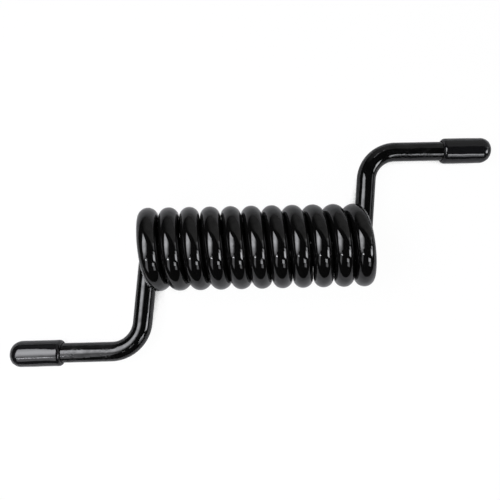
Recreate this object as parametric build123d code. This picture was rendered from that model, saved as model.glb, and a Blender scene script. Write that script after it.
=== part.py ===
from build123d import *

import math
import os

# A ramp door spring: a torsion spring of round steel wire, lying on its back, in millimetres.
# X is the axis of the coil, and of the hinge rod that the coil slides over. Z is up. The origin is
# the middle of the coil, on that axis. Both legs leave the coil at its underside, the left one
# towards -Y and the right one towards +Y, and each bends outward into a tip that runs along X.
# A push-on soft cap covers each tip.

# Wire
wire_diameter = 12.7
tip_chamfer = 1.5

# Coil
coil_outer_diameter = 54.0
turns = 11
turn_gap = 0.64

# Legs, both of one form: from the coil's axis out to the tip's centreline, the bend at its
# centreline, and from the corner where those two lines would meet to the cut end of the wire
leg_reach = 67.0
bend_radius = 21.0
tip_length = 82.8

# Caps
cap_length = 34.5
cap_wall = 2.5
cap_end_thickness = 3.0
cap_dome_radius = 7.5
cap_lip_radius = 1.9
cap_mouth_chamfer = 0.4
cap_fit_clearance = 0.0
cap_air_gap = 0.5

# Sizes that follow from those above
wire_radius = wire_diameter / 2
coil_radius = (coil_outer_diameter - wire_diameter) / 2
pitch = wire_diameter + turn_gap
full_turn = 2 * math.pi
lead_angle = math.atan2(pitch, full_turn * coil_radius)
last_angle = full_turn * turns

# How finely the winding is laid out and measured
biarcs_per_turn = 4
measured_points_per_edge = 12


def coil_point(angle):
    """The wire's centre once it has wound through the angle, which starts at the underside."""
    along = (angle - last_angle / 2) / full_turn * pitch
    return Vector(along, coil_radius * math.sin(angle), -coil_radius * math.cos(angle))


def coil_direction(angle):
    """The way the wire runs there. It is wound right-handed, so it advances towards +X."""
    across = math.cos(lead_angle)
    return Vector(math.sin(lead_angle), across * math.cos(angle), across * math.sin(angle))


def biarc(start_angle, end_angle):
    """Two arcs that run smoothly into each other and into the winding at both ends."""
    start, start_way = coil_point(start_angle), coil_direction(start_angle)
    end, end_way = coil_point(end_angle), coil_direction(end_angle)
    chord = end - start
    ways = start_way + end_way
    # Every tangent arm has one length, the arm that solves |chord - arm * ways| = 2 * arm
    a = 4 - ways.dot(ways)
    b = 2 * chord.dot(ways)
    c = -chord.dot(chord)
    arm = (math.sqrt(b * b - 4 * a * c) - b) / (2 * a)
    first_corner = start + start_way * arm
    second_corner = end - end_way * arm
    middle = (first_corner + second_corner) / 2
    return [
        TangentArc(start, middle, tangent=start_way),
        TangentArc(middle, end, tangent=second_corner - first_corner),
    ]


def leg_line(side):
    """Where one leg meets the coil's straight end, its corner, and the cut end of its wire.

    The side is -1 for the left leg and +1 for the right one.
    """
    angle = 0 if side < 0 else last_angle
    outward = coil_direction(angle) * side
    start = coil_point(angle) + outward * wire_diameter
    corner = coil_point(angle) + outward * (leg_reach / math.cos(lead_angle))
    end = corner + Vector(side * tip_length, 0, 0)
    return start, corner, end


def wire_along(edges):
    """Round wire swept along edges that follow each other smoothly."""
    path = Wire(edges)
    section = Plane(origin=path @ 0, z_dir=path % 0) * Circle(wire_radius)
    return sweep(section, path=path)


def least_gap(edges):
    """The least gap between the wire and itself, on points that lie half a turn or more apart."""
    n = measured_points_per_edge
    points = [edge @ (i / n) for edge in edges for i in range(n)]
    half_turn = biarcs_per_turn * n
    nearest = min(
        (points[i] - points[j]).length
        for i in range(len(points))
        for j in range(i + half_turn, min(i + 3 * half_turn, len(points)))
    )
    return nearest - wire_diameter


def make_coil():
    """Every turn in one unbroken wire, with a straight end one wire diameter long at each side."""
    edges = [Line(leg_line(-1)[0], coil_point(0))]
    count = math.ceil(biarcs_per_turn * turns)
    for i in range(count):
        edges += biarc(last_angle * i / count, last_angle * (i + 1) / count)
    edges.append(Line(coil_point(last_angle), leg_line(1)[0]))
    coil = wire_along(edges)

    length = sum(edge.length for edge in edges)
    section_area = math.pi * wire_radius**2
    print("least gap between turns, mm:", round(least_gap(edges), 3))
    print("coil volume over section times length:", round(coil.volume / (section_area * length), 5))
    return coil


def make_leg(side):
    """One leg with its bend and tip. The tip's cut end is chamfered."""
    start, corner, end = leg_line(side)
    leg = wire_along(FilletPolyline(start, corner, end, radius=bend_radius).edges())
    cut_edge = leg.edges().sort_by(lambda edge: side * edge.center().X)[-1]
    return chamfer(cut_edge, tip_chamfer)


def make_cap(side):
    """One cap, with a domed closed end, a rounded lip, and a bore that follows the tip's end."""
    inner_end = tip_length + cap_air_gap
    outer_end = inner_end + cap_end_thickness
    mouth = outer_end - cap_length
    inner_radius = wire_radius + cap_fit_clearance
    outer_radius = inner_radius + cap_wall
    # The lip's rounding stops short of the chamfer round the mouth
    lip_radius = min(cap_lip_radius, 0.95 * (cap_wall - cap_mouth_chamfer))

    # Half of the cap's section, as distance from the leg's corner and radius
    lip = (mouth, outer_radius)
    shoulder = (outer_end, outer_radius)
    bore_corner = (inner_end, inner_radius)
    bore_mouth = (mouth, inner_radius)
    outline = Polyline(
        lip, shoulder, (outer_end, 0), (inner_end, 0), bore_corner, bore_mouth, close=True
    )
    section = make_face(outline)
    for point, radius in [
        (lip, lip_radius),
        (shoulder, cap_dome_radius),
        (bore_corner, tip_chamfer + cap_air_gap),
    ]:
        section = fillet(section.vertices().sort_by_distance(point)[0], radius)
    section = chamfer(section.vertices().sort_by_distance(bore_mouth)[0], cap_mouth_chamfer)

    cap = revolve(section, axis=Axis.X)
    if side < 0:
        cap = cap.mirror(Plane.YZ)
    return Pos(leg_line(side)[1]) * cap


os.makedirs("parts", exist_ok=True)
export_step(make_coil(), "parts/coil.step")
for name, side in [("left", -1), ("right", 1)]:
    export_step(make_leg(side), f"parts/{name}_leg.step")
    export_step(make_cap(side), f"parts/{name}_cap.step")
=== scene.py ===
import math

import bpy
from mathutils import Euler, Matrix, Vector, noise


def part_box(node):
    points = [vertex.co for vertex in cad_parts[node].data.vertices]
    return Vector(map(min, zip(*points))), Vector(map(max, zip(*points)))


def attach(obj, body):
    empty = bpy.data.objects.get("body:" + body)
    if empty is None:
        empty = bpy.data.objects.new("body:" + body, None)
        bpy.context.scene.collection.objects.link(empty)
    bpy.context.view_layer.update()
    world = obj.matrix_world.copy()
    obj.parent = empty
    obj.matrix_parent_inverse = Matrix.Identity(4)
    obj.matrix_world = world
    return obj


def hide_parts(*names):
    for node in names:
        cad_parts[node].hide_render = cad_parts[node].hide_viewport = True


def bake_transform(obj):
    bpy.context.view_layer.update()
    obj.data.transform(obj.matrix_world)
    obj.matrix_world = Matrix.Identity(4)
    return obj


# A ramp door spring on a pale table. Everything is in metres, in the frame's own axes: X runs
# along the coil, Z is up, and the left leg leaves towards -Y. The outer sizes come from the
# frame, and the sizes within them are those of the construction.

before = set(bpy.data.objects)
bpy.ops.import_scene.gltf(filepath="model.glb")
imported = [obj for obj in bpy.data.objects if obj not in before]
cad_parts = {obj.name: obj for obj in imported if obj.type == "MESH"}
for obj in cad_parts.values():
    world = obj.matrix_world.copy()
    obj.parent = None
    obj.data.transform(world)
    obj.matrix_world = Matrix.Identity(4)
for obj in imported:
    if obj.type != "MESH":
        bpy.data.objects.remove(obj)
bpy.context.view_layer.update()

mm = 0.001
full_turn = 2 * math.pi

coil_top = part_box("coil")[1].z
leg_low, leg_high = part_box("right_leg")
cap_low, cap_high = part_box("right_cap")
cap_middle = (cap_low + cap_high) / 2

# The wire's sizes
turns = 11
pitch = 13.34 * mm
bend_radius = 21.0 * mm
tip_chamfer = 1.5 * mm
bare_radius = (leg_high.z - leg_low.z) / 2
coil_radius = coil_top - bare_radius
coat = 0.22 * mm
wire_radius = bare_radius + coat
tip_end = leg_high.x
leg_reach = cap_middle.y
tip_height = cap_middle.z
lead_angle = math.atan2(pitch, full_turn * coil_radius)

# Each leg turns into its tip round this bend, here the right one
bend_angle = math.pi / 2 - lead_angle
bend_setback = bend_radius * math.tan(bend_angle / 2)
corner_x = pitch * turns / 2 + leg_reach * math.tan(lead_angle)
bend_centre = Vector((corner_x + bend_setback, leg_reach - bend_radius, tip_height))

# The caps' sizes
cap_radius = (cap_high.z - cap_low.z) / 2
cap_mouth = cap_low.x
cap_end = cap_high.x
cap_dome_radius = 7.5 * mm
cap_lip_radius = 1.9 * mm
cap_lip_length = 2.3 * mm
cap_mouth_chamfer = 0.4 * mm
cap_air_gap = 0.5 * mm
cap_axis_hole = 0.0005 * mm

# How far the surfaces wander from true, and how far they are set back for it
coat_wave = 0.03 * mm
coat_setback = 0.6 * coat_wave
cap_wave = 0.12 * mm
cap_setback = 0.7 * cap_wave

# How finely the meshes are laid out
ring_spacing = 1.6 * mm
wire_sides = 64
cap_sides = 128

# The powder coat's roughness and grey where it is unworn, and what scuffs and rubs add to them
coat_roughness = 0.035
coat_grey = 0.0016
scuff_roughness = 0.15
# The scuffs' grey is a painted reflection, of lamp light that the scuffs scatter
scuff_painted_reflection_grey = 0.008
rub_roughness = 0.25
# The rubs' grey is partly wear and partly a painted glint
rub_painted_glint_grey = 0.045

# The scuffs fade in between these distances from the coil's middle, over the end of each bend
scuffs_start = 0.090
scuffs_full = 0.104

# The rub mark on each bend, whose grey is partly wear and partly a painted glint: its distance
# from the bend's centre, and its place on the bend
rub_radius = bend_radius + 1.6 * mm
rub_width = 0.6 * mm
rub_reach = 5.0 * mm
rub_angle = math.radians(124)

# The table top. To the camera it is white, with a painted contact shade within the contact reach
# of the object, and the shadow share is how much it shows of its plain lit colour.
table_front = -0.225
table_depth = 3.0
table_half_width = 3.0
table_colour = (0.55, 0.55, 0.55, 1)
contact_reach = 0.06
shadow_share = 0.06

# The light. A strength of 1 is white.
white = (1, 1, 1, 1)
room_strength = 0.03
lamp_colour = (0.955, 0.96, 1.0, 1)

# The wall behind the object
wall_azimuth = 71.0
wall_distance = 0.909
wall_foot = -0.03
wall_height = 1.311

# The camera is almost straight above the coil, and tilted a little. The turn is the object's as
# the camera sees it, in degrees. The slide is how far the coil's middle lies off the camera's
# axis. The sensor and the lens are in millimetres.
camera_distance = 0.3568
camera_turn = (-4.715, 1.172, 1.256)
camera_slide = (-3.706 * mm, 1.822 * mm)
camera_sensor = 36.0
camera_lens = 39.31
camera_shift = -0.024


# Meshes

def mesh_object(name, vertices, faces, material):
    """A smooth-shaded object of one material."""
    mesh = bpy.data.meshes.new(name)
    mesh.from_pydata([tuple(v) for v in vertices], [], faces)
    mesh.shade_smooth()
    mesh.materials.append(material)
    mesh.update()
    piece = bpy.data.objects.new(name, mesh)
    bpy.context.scene.collection.objects.link(piece)
    return piece


def ring_quads(rings, sides):
    """Quads between rings of vertices that follow each other."""
    quads = []
    for r in range(rings - 1):
        for s in range(sides):
            n = (s + 1) % sides
            a, b = r * sides, (r + 1) * sides
            quads.append((a + s, a + n, b + n, b + s))
    return quads


def ripple(point, wavelength, depth, seed):
    """A smooth random height, in metres. Each seed reads another part of the noise."""
    return depth * noise.noise(point / wavelength + Vector((seed, 2.3 * seed, -1.7 * seed)))


# The wire

def line(start, end):
    """Evenly spaced points after the start, up to the end."""
    count = math.ceil((end - start).length / ring_spacing)
    return [start.lerp(end, i / count) for i in range(1, count + 1)]


def right_half_line():
    """The wire's centre from the middle of the coil to the cut end of the right tip."""
    half_angle = full_turn * turns / 2
    count = math.ceil(half_angle * coil_radius / math.cos(lead_angle) / ring_spacing)
    points = []
    for i in range(count + 1):
        angle = half_angle * i / count
        # The coil's middle is half of its turns after the underside, where the winding starts
        around = angle + half_angle
        x = pitch * angle / full_turn
        points.append(Vector((x, coil_radius * math.sin(around), -coil_radius * math.cos(around))))

    outward = Vector((math.sin(lead_angle), math.cos(lead_angle), 0))
    inward = Vector((math.cos(lead_angle), -math.sin(lead_angle), 0))
    points += line(points[-1], bend_centre - inward * bend_radius)
    count = math.ceil(bend_angle * bend_radius / ring_spacing)
    for i in range(1, count + 1):
        angle = bend_angle * i / count
        way_out = outward * math.sin(angle) - inward * math.cos(angle)
        points.append(bend_centre + way_out * bend_radius)
    points += line(points[-1], Vector((tip_end, leg_reach, tip_height)))
    return points


def wire_line():
    """The whole wire. Its left half is the right half turned by half a turn about Z."""
    half = right_half_line()
    return [Vector((-p.x, -p.y, p.z)) for p in reversed(half[1:])] + half


def make_wire(material):
    """One seamless length of coated wire, from one cut end to the other."""
    points = wire_line()
    last = len(points) - 1
    # Each cut end is chamfered: its ring is smaller, and the one next to it lies a chamfer away
    points[1] = points[0] + (points[1] - points[0]).normalized() * tip_chamfer
    points[-2] = points[-1] - (points[-1] - points[-2]).normalized() * tip_chamfer
    vertices = []
    side_way = Vector((0, 0, 1))
    for i, point in enumerate(points):
        way = (points[min(i + 1, last)] - points[max(i - 1, 0)]).normalized()
        # Each ring takes over the side of the one before, so that the mesh doesn't twist
        side_way = (side_way - way * side_way.dot(way)).normalized()
        other_way = way.cross(side_way)
        radius = wire_radius - (tip_chamfer if i in (0, last) else 0)
        for s in range(wire_sides):
            angle = full_turn * s / wire_sides
            out = side_way * math.cos(angle) + other_way * math.sin(angle)
            surface = point + out * radius
            height = ripple(surface, wavelength=9 * mm, depth=coat_wave, seed=3.1)
            height += ripple(surface, wavelength=3.5 * mm, depth=0.3 * coat_wave, seed=7.7)
            vertices.append(surface + out * (height - coat_setback))

    first_end = tuple(reversed(range(wire_sides)))
    last_end = tuple(range(last * wire_sides, len(points) * wire_sides))
    faces = ring_quads(len(points), wire_sides) + [first_end, last_end]
    return mesh_object("wire", vertices, faces, material)


# The caps

def arc(centre, radius, start, end, count, length=None):
    """Points (x, r) on an arc, with its angles in degrees from +x towards +r.

    The length is its reach along x, where that isn't its radius.
    """
    length = length or radius
    points = []
    for i in range(count + 1):
        angle = math.radians(start + (end - start) * i / count)
        points.append((centre[0] + length * math.cos(angle), centre[1] + radius * math.sin(angle)))
    return points


def straight(start, end, count):
    """Points (x, r) between the start and the end, without either."""
    points = []
    for i in range(1, count):
        x = start[0] + (end[0] - start[0]) * i / count
        r = start[1] + (end[1] - start[1]) * i / count
        points.append((x, r))
    return points


def cap_outline():
    """Half of the cap's section, from the bore's blind end round the lip to the dome's middle."""
    inner_end = tip_end + cap_air_gap
    corner = tip_chamfer + cap_air_gap
    bore_start = (inner_end - corner, wire_radius)
    bore_stop = (cap_mouth + cap_mouth_chamfer, wire_radius)
    lip_centre = (cap_mouth + cap_lip_length, cap_radius - cap_lip_radius)
    dome_centre = (cap_end - cap_dome_radius, cap_radius - cap_dome_radius)

    outline = [(inner_end, cap_axis_hole), (inner_end, (wire_radius - corner) / 2)]
    outline += arc((inner_end - corner, wire_radius - corner), corner, 0, 90, count=6)
    outline += straight(bore_start, bore_stop, count=24)
    outline.append((cap_mouth, wire_radius + cap_mouth_chamfer))
    outline += arc(lip_centre, cap_lip_radius, 180, 90, count=18, length=cap_lip_length)
    outline += straight((lip_centre[0], cap_radius), (dome_centre[0], cap_radius), count=60)
    outline += arc(dome_centre, cap_dome_radius, 90, 0, count=28)
    outline.append((cap_end, cap_axis_hole))
    return outline


def make_cap(name, side, material):
    """One push-on cap. The side is -1 for the left tip and +1 for the right one."""
    outline = cap_outline()
    vertices = []
    for x, r in outline:
        outside = r > wire_radius + cap_mouth_chamfer
        for s in range(cap_sides):
            angle = full_turn * s / cap_sides
            out = Vector((0, math.cos(angle), math.sin(angle)))
            point = Vector((side * x, side * leg_reach, tip_height)) + out * r
            if outside:
                height = ripple(point, wavelength=14 * mm, depth=cap_wave, seed=5.3 + side)
                height += ripple(point, wavelength=5 * mm, depth=0.35 * cap_wave, seed=1.9)
                point += out * (height - cap_setback)
            vertices.append(point)

    faces = ring_quads(len(outline), cap_sides)
    # The left cap points towards -X, so its quads are turned round to face outwards as well
    if side < 0:
        faces = [(a, d, c, b) for a, b, c, d in faces]
    return mesh_object(name, vertices, faces, material)


# Nodes

class Nodes:
    """The node tree of a material, a lamp or the world, with short calls for its nodes."""

    def __init__(self, owner):
        owner.use_nodes = True
        self.tree = owner.node_tree

    def __getitem__(self, name):
        return self.tree.nodes[name]

    def join(self, output, socket):
        self.tree.links.new(output, socket)

    def add(self, kind, inputs=None, **settings):
        """A new node. Each input is a value or the output of another node."""
        node = self.tree.nodes.new(kind)
        for key, value in settings.items():
            setattr(node, key, value)
        for key, value in (inputs or {}).items():
            if isinstance(value, bpy.types.NodeSocket):
                self.join(value, node.inputs[key])
            else:
                node.inputs[key].default_value = value
        return node

    def number(self, operation, *values):
        """The result of a calculation with numbers."""
        return self.add("ShaderNodeMath", dict(enumerate(values)), operation=operation).outputs[0]

    def product(self, first, second):
        """Two vectors multiplied along each axis."""
        node = self.add("ShaderNodeVectorMath", {0: first, 1: second}, operation="MULTIPLY")
        return node.outputs["Vector"]

    def distance(self, start, end):
        """The distance between two places."""
        node = self.add("ShaderNodeVectorMath", {0: start, 1: end}, operation="DISTANCE")
        return node.outputs["Value"]

    def along(self, axis, place):
        """A place's coordinate along one axis."""
        return self.add("ShaderNodeSeparateXYZ", {0: place}).outputs[axis]


def spread(nodes, value, between, to, **settings):
    """A value mapped from one range to another, and kept in that range."""
    inputs = {
        "Value": value,
        "From Min": between[0],
        "From Max": between[1],
        "To Min": to[0],
        "To Max": to[1],
    }
    return nodes.add("ShaderNodeMapRange", inputs, **settings).outputs["Result"]


def add_up(nodes, start, *shares):
    """A number, and each value after it times its own factor."""
    total = start
    for value, factor in shares:
        total = nodes.number("MULTIPLY_ADD", value, factor, total)
    return total


def noise_height(nodes, place, scale, detail, stretch=(1, 1, 1)):
    """Smooth noise with a scale in cells per metre, drawn out along X, Y or Z by the stretch."""
    squeezed = tuple(1 / s for s in stretch)
    drawn = nodes.add("ShaderNodeMapping", {"Vector": place, "Scale": squeezed}).outputs["Vector"]
    inputs = {"Vector": drawn, "Scale": scale, "Detail": detail}
    return nodes.add("ShaderNodeTexNoise", inputs).outputs["Fac"]


def relief(nodes, *layers):
    """Bumps laid over each other. Each layer is a height from 0 to 1 and its depth in metres."""
    normal = None
    for height, depth in layers:
        inputs = {"Height": height, "Strength": 1.0, "Distance": depth}
        if normal:
            inputs["Normal"] = normal
        normal = nodes.add("ShaderNodeBump", inputs).outputs["Normal"]
    return normal


def show_to_camera(nodes, output, plain, shown, share=1.0):
    """Shows a share of another shader to the camera, and the plain shader to everything else."""
    camera_ray = nodes.add("ShaderNodeLightPath").outputs["Is Camera Ray"]
    shown_share = nodes.number("MULTIPLY", camera_ray, share)
    inputs = {0: shown_share, 1: plain.outputs[0], 2: shown.outputs[0]}
    mix = nodes.add("ShaderNodeMixShader", inputs)
    nodes.join(mix.outputs[0], nodes[output].inputs["Surface"])


# Materials

def new_material(name):
    """A material, its nodes and its shader."""
    material = bpy.data.materials.new(name)
    nodes = Nodes(material)
    return material, nodes, nodes["Principled BSDF"]


def dust_specks(nodes, place):
    """Round specks of dust, in about three of every ten cells."""
    cells_per_metre = 230
    cells = nodes.add("ShaderNodeTexVoronoi", {"Vector": place, "Scale": cells_per_metre}).outputs
    speck = spread(nodes, cells["Distance"], between=(0.05, 0.22), to=(1, 0))
    has_speck = spread(nodes, cells["Color"], between=(0.62, 0.66), to=(0, 1))
    return nodes.number("MULTIPLY", speck, has_speck)


def tip_scuffs_and_painted_reflection(nodes, place):
    """Patches of fine scuffs along X, on the tips only, which have been handled most. The grey
    they add to the colour is a painted reflection.
    """
    from_middle = nodes.number("ABSOLUTE", nodes.along("X", place))
    on_tip = spread(nodes, from_middle, between=(scuffs_start, scuffs_full), to=(0, 1))
    patches = noise_height(nodes, place, scale=110, detail=2)
    in_patch = spread(nodes, patches, between=(0.42, 0.55), to=(0, 1))
    scratches = noise_height(nodes, place, scale=1300, detail=3, stretch=(3, 1, 1))
    groove = spread(nodes, scratches, between=(0.45, 0.7), to=(0, 1))
    return nodes.number("MULTIPLY", groove, nodes.number("MULTIPLY", on_tip, in_patch))


def bend_rubs_and_painted_glints(nodes, place):
    """A broken line that bending has rubbed along each bend, a little outside its middle. The grey
    it adds to the colour is partly wear and partly a painted glint.
    """
    # The left half is turned onto the right one, so that one line does for both bends
    side = nodes.number("SIGN", nodes.along("X", place))
    sides = nodes.add("ShaderNodeCombineXYZ", {"X": side, "Y": side}).outputs[0]
    turned = nodes.product(place, sides)
    from_centre = nodes.distance(turned, (bend_centre.x, bend_centre.y, 0))
    off_line = nodes.number("ABSOLUTE", nodes.number("SUBTRACT", from_centre, rub_radius))
    on_line = spread(nodes, off_line, between=(0.3 * rub_width, 0.7 * rub_width), to=(1, 0))

    middle_x = bend_centre.x + math.cos(rub_angle) * rub_radius
    middle_y = bend_centre.y + math.sin(rub_angle) * rub_radius
    from_middle = nodes.distance(turned, (middle_x, middle_y, 0))
    in_reach = spread(nodes, from_middle, between=(0.85 * rub_reach, rub_reach), to=(1, 0))
    breaks = noise_height(nodes, place, scale=330, detail=2)
    unbroken = spread(nodes, breaks, between=(0.44, 0.52), to=(0, 1))
    return nodes.number("MULTIPLY", nodes.number("MULTIPLY", on_line, in_reach), unbroken)


def powder_coat():
    """Gloss black powder coat: faint orange peel, dust, scuffed tips with a painted reflection,
    and rubbed bends whose grey is partly a painted glint.
    """
    material, nodes, shader = new_material("gloss_black_powder_coat")
    place = nodes.add("ShaderNodeTexCoord").outputs["Object"]
    peel = noise_height(nodes, place, scale=420, detail=2)
    grit = noise_height(nodes, place, scale=1400, detail=2)
    specks = dust_specks(nodes, place)
    scuffs_and_painted_reflection = tip_scuffs_and_painted_reflection(nodes, place)
    rubs_and_painted_glints = bend_rubs_and_painted_glints(nodes, place)
    roughness = add_up(nodes, coat_roughness, (scuffs_and_painted_reflection, scuff_roughness), (rubs_and_painted_glints, rub_roughness))
    # The scuffs add a painted reflection to this grey, and the rubs add wear and a painted glint
    grey = add_up(nodes, coat_grey, (scuffs_and_painted_reflection, scuff_painted_reflection_grey), (rubs_and_painted_glints, rub_painted_glint_grey))

    # Dust and finger marks take some of the shine off in patches
    film = noise_height(nodes, place, scale=260, detail=5)
    shine = spread(nodes, film, between=(0.42, 0.68), to=(0.54, 0.36))

    shader.inputs["IOR"].default_value = 1.5
    nodes.join(grey, shader.inputs["Base Color"])
    nodes.join(roughness, shader.inputs["Roughness"])
    nodes.join(shine, shader.inputs["Specular IOR Level"])
    layers = [(peel, 0.008 * mm), (grit, 0.003 * mm), (specks, 0.03 * mm), (scuffs_and_painted_reflection, 0.035 * mm)]
    nodes.join(relief(nodes, *layers), shader.inputs["Normal"])
    return material


def soft_vinyl():
    """Satin black soft vinyl, with the uneven skin that dipping leaves."""
    material, nodes, shader = new_material("satin_black_vinyl")
    place = nodes.add("ShaderNodeTexCoord").outputs["Object"]
    skin = noise_height(nodes, place, scale=330, detail=2, stretch=(2, 1, 1))
    grain = noise_height(nodes, place, scale=1100, detail=3)
    film = noise_height(nodes, place, scale=200, detail=3)
    roughness = spread(nodes, film, between=(0.4, 0.65), to=(0.05, 0.13))

    shader.inputs["Base Color"].default_value = (0.005, 0.005, 0.0055, 1)
    shader.inputs["IOR"].default_value = 1.5
    nodes.join(roughness, shader.inputs["Roughness"])
    nodes.join(relief(nodes, (skin, 0.05 * mm), (grain, 0.006 * mm)), shader.inputs["Normal"])
    return material


# The table, the room and the light

def make_table():
    """A white table top with a painted contact shade, with its front edge on the left leg's side.
    """
    top = min(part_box(node)[0].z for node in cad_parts)
    back = table_front + table_depth
    corners = [
        (-table_half_width, table_front, top),
        (table_half_width, table_front, top),
        (table_half_width, back, top),
        (-table_half_width, back, top),
    ]
    material, nodes, shader = new_material("white_table")
    shader.inputs["Base Color"].default_value = table_colour
    shader.inputs["Roughness"].default_value = 0.9
    shader.inputs["Specular IOR Level"].default_value = 0.0

    # To the camera the table is white, with painted shade where ambient occlusion finds the object
    # shutting it in. The share of its plain lit colour keeps a faint shadow, and 1.03 makes up for
    # that share.
    painted_shade_openness = nodes.add("ShaderNodeAmbientOcclusion", {"Distance": contact_reach}, samples=8)
    strength = spread(nodes, painted_shade_openness.outputs["AO"], between=(0.17, 0.37), to=(0.0, 1.03))
    glow = nodes.add("ShaderNodeEmission", {"Color": white, "Strength": strength})
    show_to_camera(nodes, "Material Output", shader, glow, share=1 - shadow_share)
    mesh_object("table", corners, [(0, 1, 2, 3)], material)


def make_world():
    """A dark room that is white to the camera."""
    world = bpy.data.worlds.new("studio")
    bpy.context.scene.world = world
    nodes = Nodes(world)
    room = nodes["Background"]
    room.inputs["Color"].default_value = white
    room.inputs["Strength"].default_value = room_strength
    backdrop = nodes.add("ShaderNodeBackground", {"Color": white, "Strength": 1.0})
    show_to_camera(nodes, "World Output", room, backdrop)


def area_lamp(name, size, place, turned):
    """A rectangular lamp that shows in reflections only. Returns its nodes.

    Its energy is such that the strength in its nodes is its radiance.
    """
    light = bpy.data.lights.new(name, "AREA")
    light.shape = "RECTANGLE"
    light.size, light.size_y = size
    light.energy = math.pi * size[0] * size[1]
    lamp = bpy.data.objects.new(name, light)
    lamp.matrix_world = Matrix.Translation(place) @ turned.to_4x4()
    lamp.visible_camera = False
    bpy.context.scene.collection.objects.link(lamp)
    return Nodes(light)


def facing_back(away, across):
    """The turn of a lamp that shines against the way out to it, with its width across."""
    return Matrix((across, away.cross(across), away)).transposed()


def place_on_lamp(nodes):
    """The place on a lamp's face, from 0 to 1 across it and from 0 to 1 up it."""
    return nodes.add("ShaderNodeNewGeometry").outputs["Parametric"]


def hang_lamp(name, azimuth, tilt, distance, turn, size, radiance, hot=None):
    """A lamp that faces the coil's middle.

    The azimuth is from +X towards +Y and the tilt from straight up, both in degrees. The turn is
    in degrees about the lamp's facing, its width and its height, in that order and each as it is
    before the turn. A hot spot adds extra radiance at its place across and up from the lamp's
    middle, and has faded out at its reach.
    """
    azimuth, tilt = math.radians(azimuth), math.radians(tilt)
    across = Vector((-math.sin(azimuth), math.cos(azimuth), 0))
    away = Vector((math.cos(azimuth), math.sin(azimuth), 0)) * math.sin(tilt)
    away.z = math.cos(tilt)
    about_facing, about_width, about_height = (math.radians(angle) for angle in turn)
    own_turn = Euler((about_width, about_height, about_facing), "ZXY").to_matrix()
    nodes = area_lamp(name, size, away * distance, facing_back(away, across) @ own_turn)
    emission = nodes["Emission"]
    emission.inputs["Color"].default_value = lamp_colour
    emission.inputs["Strength"].default_value = radiance
    if hot is None:
        return
    # Both places are in metres from one corner of the lamp
    place = nodes.product(place_on_lamp(nodes), (size[0], size[1], 0))
    hot_place = (size[0] / 2 + hot["across"], size[1] / 2 + hot["up"], 0)
    strength = spread(
        nodes,
        nodes.distance(place, hot_place),
        between=(0, hot["reach"]),
        to=(radiance + hot["extra"], radiance),
        interpolation_type="SMOOTHSTEP",
    )
    nodes.join(strength, emission.inputs["Strength"])


def stand_wall(name, span, radiance):
    """A stretch of the wall, which glows a little.

    The span is where it starts and ends along the wall, and it has one radiance at each.
    """
    azimuth = math.radians(wall_azimuth)
    away = Vector((math.cos(azimuth), math.sin(azimuth), 0))
    along = Vector((math.sin(azimuth), -math.cos(azimuth), 0))
    middle = away * wall_distance + along * (span[0] + span[1]) / 2
    middle.z = wall_height / 2 + wall_foot
    size = (span[1] - span[0], wall_height)
    nodes = area_lamp(name, size, middle, facing_back(away, along))
    share_along = nodes.along("X", place_on_lamp(nodes))
    strength = spread(nodes, share_along, between=(0, 1), to=radiance)
    nodes.join(strength, nodes["Emission"].inputs["Strength"])


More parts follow.
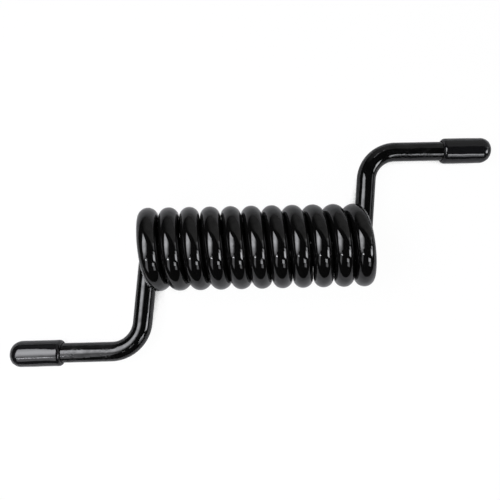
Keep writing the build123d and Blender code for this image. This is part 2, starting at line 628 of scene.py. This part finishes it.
def make_lamps():
    """A soft box overhead, a skirt and a strip light below it, two windows and the wall."""
    hang_lamp(
        "soft_box",
        azimuth=192.0,
        tilt=23.0,
        distance=0.956,
        turn=(-38.6, 34.6, -45.0),
        size=(0.78, 1.04),
        radiance=1.27,
        hot={"across": -0.16, "up": -0.278, "reach": 0.66, "extra": 7.7},
    )
    hang_lamp(
        "skirt",
        azimuth=227.3,
        tilt=54.9,
        distance=0.527,
        turn=(7.6, -10.9, 45.0),
        size=(0.213, 0.332),
        radiance=1.74,
    )
    hang_lamp(
        "strip_light",
        azimuth=226.8,
        tilt=44.7,
        distance=2.0,
        turn=(43.2, 0, 0),
        size=(0.46, 0.07),
        radiance=24.0,
    )
    hang_lamp(
        "right_window",
        azimuth=342.8,
        tilt=64.4,
        distance=4.0,
        turn=(15.0, 0, 0),
        size=(1.0, 1.5),
        radiance=5.5,
        hot={"across": 0, "up": 0, "reach": 0.9, "extra": 6.5},
    )
    hang_lamp(
        "right_window_top",
        azimuth=355.2,
        tilt=67.0,
        distance=4.0,
        turn=(4.0, 0, 0),
        size=(0.46, 1.15),
        radiance=5.0,
    )
    hang_lamp(
        "right_window_glow",
        azimuth=9.7,
        tilt=71.0,
        distance=4.0,
        turn=(-9.0, 0, 0),
        size=(0.96, 1.05),
        radiance=1.2,
    )
    hang_lamp(
        "front_window",
        azimuth=311.0,
        tilt=54.8,
        distance=0.70,
        turn=(-42.0, 0, 0),
        size=(0.25, 0.115),
        radiance=6.6,
    )
    hang_lamp(
        "front_window_sill",
        azimuth=308.2,
        tilt=66.5,
        distance=0.70,
        turn=(-38.0, 0, 0),
        size=(0.23, 0.12),
        radiance=2.2,
    )
    stand_wall("wall", span=(-0.498, 1.55), radiance=(0.265, 0.40))
    stand_wall("wall_left", span=(-1.32, -0.498), radiance=(0.0, 0.24))


def make_camera():
    """The camera, at the photograph's viewing angle."""
    turned = Euler([math.radians(a) for a in camera_turn], "XYZ").to_matrix().inverted()
    data = bpy.data.cameras.new("camera")
    data.sensor_width = camera_sensor
    data.lens = camera_lens
    data.shift_x = camera_shift
    data.clip_start = 0.01
    camera = bpy.data.objects.new("camera", data)
    place = turned @ Vector((-camera_slide[0], -camera_slide[1], camera_distance))
    camera.matrix_world = Matrix.Translation(place) @ turned.to_4x4()
    bpy.context.scene.collection.objects.link(camera)
    bpy.context.scene.camera = camera


# The pieces

wire = make_wire(powder_coat())
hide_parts("coil", "left_leg", "right_leg")
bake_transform(wire)

vinyl = soft_vinyl()
for name, side, body in [("left", -1, "frame_side"), ("right", 1, "door_side")]:
    cap = make_cap(f"{name}_end_cap", side, vinyl)
    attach(cap, body)
    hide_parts(f"{name}_cap")

# What is round them

make_table()
make_world()
make_lamps()
make_camera()

bpy.context.scene.view_settings.view_transform = "Standard"
